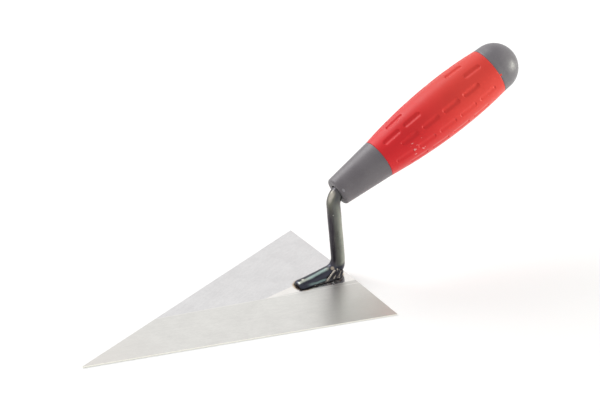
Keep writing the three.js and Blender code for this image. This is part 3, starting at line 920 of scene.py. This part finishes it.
nose = top + handle_axis * NOSE_GAP
handle_place = Matrix.Translation((nose.x, 0, nose.y)) @ Matrix(
    (
        (handle_axis.x, 0, -handle_axis.y, 0),
        (0, -1, 0, 0),
        (handle_axis.y, 0, handle_axis.x, 0),
        (0, 0, 0, 1),
    )
)


def barrel_radius(along):
    """The radius of the outline at a place along the handle, found by halving."""
    low, high = 0.0, 1.0
    for _ in range(30):
        t = (low + high) / 2
        weights = ((1 - t) ** 3, 3 * t * (1 - t) ** 2, 3 * t * t * (1 - t), t**3)
        if sum(w * p[1] for w, p in zip(weights, BARREL)) < along:
            low = t
        else:
            high = t
    return sum(w * p[0] for w, p in zip(weights, BARREL))


def turned(name, profile, change=None, sides=ROUND):
    """A closed solid of revolution about the handle's axis, from (along, radius) points.
    Angles start at the top and run towards the trowel's right side."""
    points, faces = [], []
    for row, (along, radius) in enumerate(profile):
        for k in range(sides):
            angle = 2 * pi * k / sides
            r = radius if change is None else change(row, along, angle, radius)
            points.append(handle_place @ Vector((along, r * sin(angle), r * cos(angle))))
    rows = len(profile)
    for row in range(rows):
        for k in range(sides):
            a, b = row * sides + k, row * sides + (k + 1) % sides
            c = ((row + 1) % rows) * sides
            faces.append((a, b, c + b % sides, c + a % sides))
    made = add_object(name, points, faces)
    tidy = bmesh.new()
    tidy.from_mesh(made.data)
    bmesh.ops.remove_doubles(tidy, verts=tidy.verts, dist=1e-7)
    bmesh.ops.recalc_face_normals(tidy, faces=tidy.faces)
    tidy.to_mesh(made.data)
    tidy.free()
    for face in made.data.polygons:
        face.use_smooth = True
    return made


def arc(along, radius, size, start, end, steps):
    """Points of a round in the profile; angle 0 points along the handle and 90 outwards."""
    angles = [radians(start + (end - start) * k / steps) for k in range(steps + 1)]
    return [(along + size * cos(a), radius + size * sin(a)) for a in angles]


def barrel(inset, start, end, steps):
    """Points of the barrel's outline, set in by the given wall."""
    stations = [start + (end - start) * k / steps for k in range(steps + 1)]
    return [(along, barrel_radius(along) - inset) for along in stations]


def nose_cone(start, end, steps):
    """Points of the nose's straight taper."""
    slope = (GRIP_FRONT_RADIUS - NOSE_RADIUS) / (NOSE_LENGTH - NOSE_ROUNDING)
    stations = [start + (end - start) * k / steps for k in range(steps + 1)]
    return [(along, NOSE_RADIUS + slope * (along - NOSE_ROUNDING)) for along in stations]


core = turned(
    "handle_nose_and_core",
    [
        (TAIL_LENGTH + GAP, 0),
        (TAIL_LENGTH + GAP, BORE_RADIUS),
        (MOUTH_DEPTH, BORE_RADIUS),
        (MOUTH_DEPTH / 2, MOUTH_RADIUS),
        (MOUTH_EASING, MOUTH_RADIUS),
        *arc(NOSE_ROUNDING, NOSE_RADIUS - NOSE_ROUNDING, NOSE_ROUNDING, 180, 95, 12),
        *nose_cone(TAPER_START, NOSE_END - SEAM_EASING, 20),
        *arc(NOSE_END - SEAM_EASING, GRIP_FRONT_RADIUS - SEAM_EASING, SEAM_EASING, 70, 0, 4),
        (NOSE_END, GRIP_FRONT_RADIUS - SLEEVE_WALL - GAP),
        *barrel(SLEEVE_WALL + GAP, NOSE_LENGTH, GRIP_END - GAP, 40),
        (GRIP_END - GAP, CAVITY_RADIUS),
        (CAVITY_START, CAVITY_RADIUS),
        (CAVITY_START, 0),
    ],
)

SHARP_ANGLE = radians(40)


def crease(piece):
    """Keeps corners crisp where two faces meet at a large angle."""
    tidy = bmesh.new()
    tidy.from_mesh(piece.data)
    for edge in tidy.edges:
        if len(edge.link_faces) == 2 and edge.calc_face_angle(0) > SHARP_ANGLE:
            edge.smooth = False
    tidy.to_mesh(piece.data)
    tidy.free()


crease(core)


def on_handle(along, degrees, radius):
    """A place on the handle; degrees run from the top towards the trowel's right side."""
    angle = radians(degrees)
    return handle_place @ Vector((along, radius * sin(angle), radius * cos(angle)))


def scratched(finish, stretch, turn):
    """Sparse short scratches, 0 between them."""
    lines = node(
        finish,
        "ShaderNodeMapping",
        {"Vector": place_on_piece(finish), "Rotation": turn, "Scale": stretch},
    )
    return mottle(finish, lines.outputs[0], 1, detail=2)


def moulded_plastic(name, dark, light, flecks):
    """Hard plastic with the fine grain of a spark-eroded mould, and light scuffs on it."""
    finish, shader = finish_named(name)
    cloud = mottle(finish, place_on_piece(finish), 90, detail=4)
    grain = mottle(finish, place_on_piece(finish), 2600, detail=2)
    base = mixed(finish, ramp(finish, cloud, 0.3, 0.7), dark, light)
    base = mixed(finish, ramp(finish, grain, 0.45, 0.75, 0, 0.18), base, flecks)
    scuffs = scratched(finish, (500, 2600, 900), (0.3, 0.9, 0.5))
    base = mixed(finish, ramp(finish, scuffs, 0.72, 0.8, 0, 0.5), base, flecks)
    feed(finish, shader, "Base Color", base)
    feed(finish, shader, "Roughness", ramp(finish, cloud, 0.3, 0.7, 0.37, 0.44))
    orange_peel = mottle(finish, place_on_piece(finish), 700, detail=2)
    raised(finish, shader, maths(finish, "MULTIPLY_ADD", orange_peel, 1.5, grain), 0.3, 0.0001)
    return finish, shader


core_plastic, shader = moulded_plastic(
    "core_plastic", (0.128, 0.114, 0.125), (0.150, 0.136, 0.146), (0.3, 0.29, 0.31)
)
GLINT_AT = 0.0019  # a small painted glint on the nose's rounding, in from its front face
GLINT_FROM, GLINT_TO = 50, 61  # degrees round from the top
GLINT_SIZE, GLINT_FADED = 0.0026, 0.0034
GLINT_RAGGED = 0.0012
# Painted highlight: a pale, ragged glint on the nose's rounding.
ragged = mottle(core_plastic, place_on_piece(core_plastic), 900)
ragged = maths(core_plastic, "MULTIPLY", ragged, GLINT_RAGGED)
nose_glint = maths(
    core_plastic,
    "ADD",
    distance_from(core_plastic, on_handle(GLINT_AT, GLINT_FROM, NOSE_RADIUS)),
    distance_from(core_plastic, on_handle(GLINT_AT, GLINT_TO, NOSE_RADIUS)),
)
nose_glint = maths(core_plastic, "ADD", nose_glint, ragged)
nose_glint = ramp(core_plastic, nose_glint, GLINT_SIZE, GLINT_FADED, 0.4, 0)
base = mixed(core_plastic, nose_glint, colour_so_far(shader), (0.42, 0.41, 0.44))
feed(core_plastic, shader, "Base Color", base)
core.data.materials.append(core_plastic)
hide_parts("handle_core")
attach(core, "root")


# Grip: a soft red elastomer sleeve moulded over the core. Rows of shallow oblong grooves run all
# round it, with a plain patch left on top; a tab at its rear end keys it to the butt cap.

ROWS = 12
FIRST_ROW = 23.5
GROOVE_LENGTH = 0.0134
GROOVE_WIDTH = 0.0025
GROOVE_DEPTH = 0.0008
SHALLOW_FROM, SHALLOW_TO = 45, 85  # the rows this many degrees from the top are shallower,
SHALLOW_SHARE = 0.4  # down to this share of the depth,
SHALLOW_ENDS = 0.35  # but lose this much less at the grooves' ends
GROOVE_PITCH = 0.0171
GROOVE_START = 0.0054
GROOVE_STOP = 0.004  # the least that stays plain behind the last groove
GROOVE_SIDE_WALL = 0.0024
GROOVE_END_WALL = 0.0005
PLAIN_FROM, PLAIN_TO, PLAIN_HALF_ANGLE = 0.033, 0.068, 36
GRIP_STEP = 0.0003
GRIP_SIDES = 360
LIP = SEAM_EASING
SKIN = 0.001  # what lies deeper than this is the sleeve's inside
TAB_WIDTH = 0.0017
TAB_LENGTH = 0.0015
TAB_DEPTH = 0.0014
TAB_ANGLE = radians(70)
TAB_EASING = 0.0003

grooves = []
for row in range(ROWS):
    angle = (FIRST_ROW + row * 360 / ROWS + 180) % 360 - 180
    along = GROOVE_START + GROOVE_LENGTH / 2 + (row % 2) * GROOVE_PITCH / 2
    while along < GRIP_LENGTH - GROOVE_STOP - GROOVE_LENGTH / 2:
        if not PLAIN_FROM <= along <= PLAIN_TO or abs(angle) > PLAIN_HALF_ANGLE:
            grooves.append((NOSE_LENGTH + along, radians(angle)))
        along += GROOVE_PITCH


def groove_depth(along, angle, radius):
    """Depth of the nearest groove at a place on the grip."""
    for centre, where in grooves:
        past = abs(along - centre) - (GROOVE_LENGTH - GROOVE_WIDTH) / 2
        if past > GROOVE_WIDTH:
            continue
        aside = ((angle - where + pi) % (2 * pi) - pi) * radius
        if abs(aside) > GROOVE_WIDTH:
            continue
        off_line = hypot(max(past, 0), aside)
        endwards = max(past, 0) / max(off_line, 1e-9)
        wall = GROOVE_SIDE_WALL + (GROOVE_END_WALL - GROOVE_SIDE_WALL) * endwards
        down = smooth((abs(degrees(where)) - SHALLOW_FROM) / (SHALLOW_TO - SHALLOW_FROM))
        depth = GROOVE_DEPTH * (1 + (SHALLOW_SHARE - 1) * down * (1 - SHALLOW_ENDS * endwards))
        return depth * smooth(0.5 - (off_line - GROOVE_WIDTH / 2) / wall)
    return 0.0


outer = barrel(0, NOSE_LENGTH + LIP, GRIP_END - LIP, round((GRIP_LENGTH - 2 * LIP) / GRIP_STEP))
sleeve_profile = [
    *arc(NOSE_LENGTH + LIP, GRIP_FRONT_RADIUS - LIP, LIP, 180, 100, 4),
    *outer,
    *arc(GRIP_END - LIP, GRIP_REAR_RADIUS - LIP, LIP, 80, 0, 4),
    *reversed(barrel(SLEEVE_WALL, NOSE_LENGTH, GRIP_END, 30)),
]


barrel_radius_at_row = [barrel_radius(along) for along, radius in sleeve_profile]


def grooved(row, along, angle, radius):
    """The sleeve's radius with the grooves sunk into its outer face."""
    on_barrel = NOSE_LENGTH + LIP <= along <= GRIP_END - LIP
    outside = on_barrel and radius > barrel_radius_at_row[row] - SKIN
    return radius - groove_depth(along, angle, radius) if outside else radius


sleeve = turned("grip_with_grooves", sleeve_profile, grooved, GRIP_SIDES)
crease(sleeve)

rubber, shader = finish_named("red_rubber")
shader.inputs["Specular IOR Level"].default_value = 0.3
shader.inputs["Sheen Weight"].default_value = 0.15
shader.inputs["Sheen Roughness"].default_value = 0.5
shader.inputs["Sheen Tint"].default_value = (1, 0.8, 0.7, 1)
cloud = mottle(rubber, place_on_piece(rubber), 60, detail=4)
grain = mottle(rubber, place_on_piece(rubber), 1800, detail=3)
# Painted light: the grip is painted warmer and paler towards its rear, where the lamp off the
# handle's end lights it most.
along_grip = reach(rubber, place_on_piece(rubber), (handle_axis.x, 0, handle_axis.y))
grip_start = nose.dot(handle_axis) + NOSE_LENGTH
warmer_from = grip_start + 0.12 * GRIP_LENGTH  # the red turns warmer and paler from here
warmer_to = grip_start + 0.85 * GRIP_LENGTH  # to here
painted_rear_light = ramp(rubber, along_grip, warmer_from, warmer_to)
front = mixed(rubber, ramp(rubber, cloud, 0.3, 0.7), (0.68, 0.010, 0.015), (0.73, 0.013, 0.019))
rear = mixed(rubber, ramp(rubber, cloud, 0.3, 0.7), (0.72, 0.042, 0.029), (0.76, 0.048, 0.034))
base = mixed(rubber, painted_rear_light, front, rear)
scuffs = scratched(rubber, (260, 1100, 500), (0.2, 0.6, 1.1))
# Pale flecks gather round one place on the grip's right side.
flecks_gather = distance_from(rubber, on_handle(NOSE_LENGTH + 0.021, 84, 0.0165))
scuffs = maths(rubber, "ADD", scuffs, ramp(rubber, flecks_gather, 0.004, 0.012, 0.15, 0))
base = mixed(rubber, ramp(rubber, scuffs, 0.76, 0.82, 0, 0.6), base, (0.86, 0.55, 0.52))
feed(rubber, shader, "Base Color", base)
feed(rubber, shader, "Roughness", ramp(rubber, cloud, 0.3, 0.7, 0.36, 0.46))
raised(rubber, shader, grain, 0.2, 0.00008)
sleeve.data.materials.append(rubber)
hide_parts("grip_sleeve")
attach(sleeve, "root")

tab_turn = Matrix.Rotation(-TAB_ANGLE, 4, "X")
tab_points = [
    handle_place @ tab_turn @ Vector((along, side * TAB_WIDTH / 2, GRIP_REAR_RADIUS + drop))
    for along in (GRIP_END - TAB_LENGTH, GRIP_END + TAB_LENGTH)
    for side, drop in ((-1, -TAB_DEPTH), (1, -TAB_DEPTH), (1, 0), (-1, 0))
]
tab = add_object(
    "grip_tab",
    tab_points,
    [(0, 1, 2, 3), (7, 6, 5, 4), (0, 4, 5, 1), (1, 5, 6, 2), (2, 6, 7, 3), (3, 7, 4, 0)],
)
tab_easing = tab.modifiers.new("eased_edges", "BEVEL")
tab_easing.width = TAB_EASING
tab_easing.segments = EASING_STEPS
tab.data.materials.append(rubber)
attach(tab, "root")


# Butt cap: hard grey plastic, a dome that plugs the rear of the core with its spigot.

CAP_RADIUS = 0.01607
CAP_SHOULDER = 0.0044
CAP_WALL = 0.0032
SPIGOT_LENGTH = 0.011
CAP_START = GRIP_END + SEAM
CAP_CENTRE = GRIP_END + CAP_SHOULDER

cap = turned(
    "domed_butt_cap",
    [
        (CAP_CENTRE + CAP_RADIUS - CAP_WALL, 0),
        (CAP_CENTRE + CAP_RADIUS - 1.5 * CAP_WALL, CAVITY_RADIUS - GAP - CAP_WALL),
        (GRIP_END - SPIGOT_LENGTH, CAVITY_RADIUS - GAP - CAP_WALL),
        (GRIP_END - SPIGOT_LENGTH, CAVITY_RADIUS - GAP),
        (CAP_START, CAVITY_RADIUS - GAP),
        *arc(CAP_START + SEAM_EASING, GRIP_REAR_RADIUS - SEAM_EASING, SEAM_EASING, 180, 95, 4),
        (GRIP_END + CAP_SHOULDER / 2, (GRIP_REAR_RADIUS + CAP_RADIUS) / 2),
        *arc(CAP_CENTRE, 0, CAP_RADIUS, 90, 0, 48),
    ],
)
crease(cap)
cap_plastic, _ = moulded_plastic(
    "cap_plastic", (0.148, 0.136, 0.148), (0.174, 0.161, 0.173), (0.33, 0.33, 0.34)
)
cap.data.materials.append(cap_plastic)
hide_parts("butt_cap")
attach(cap, "root")


low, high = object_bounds()
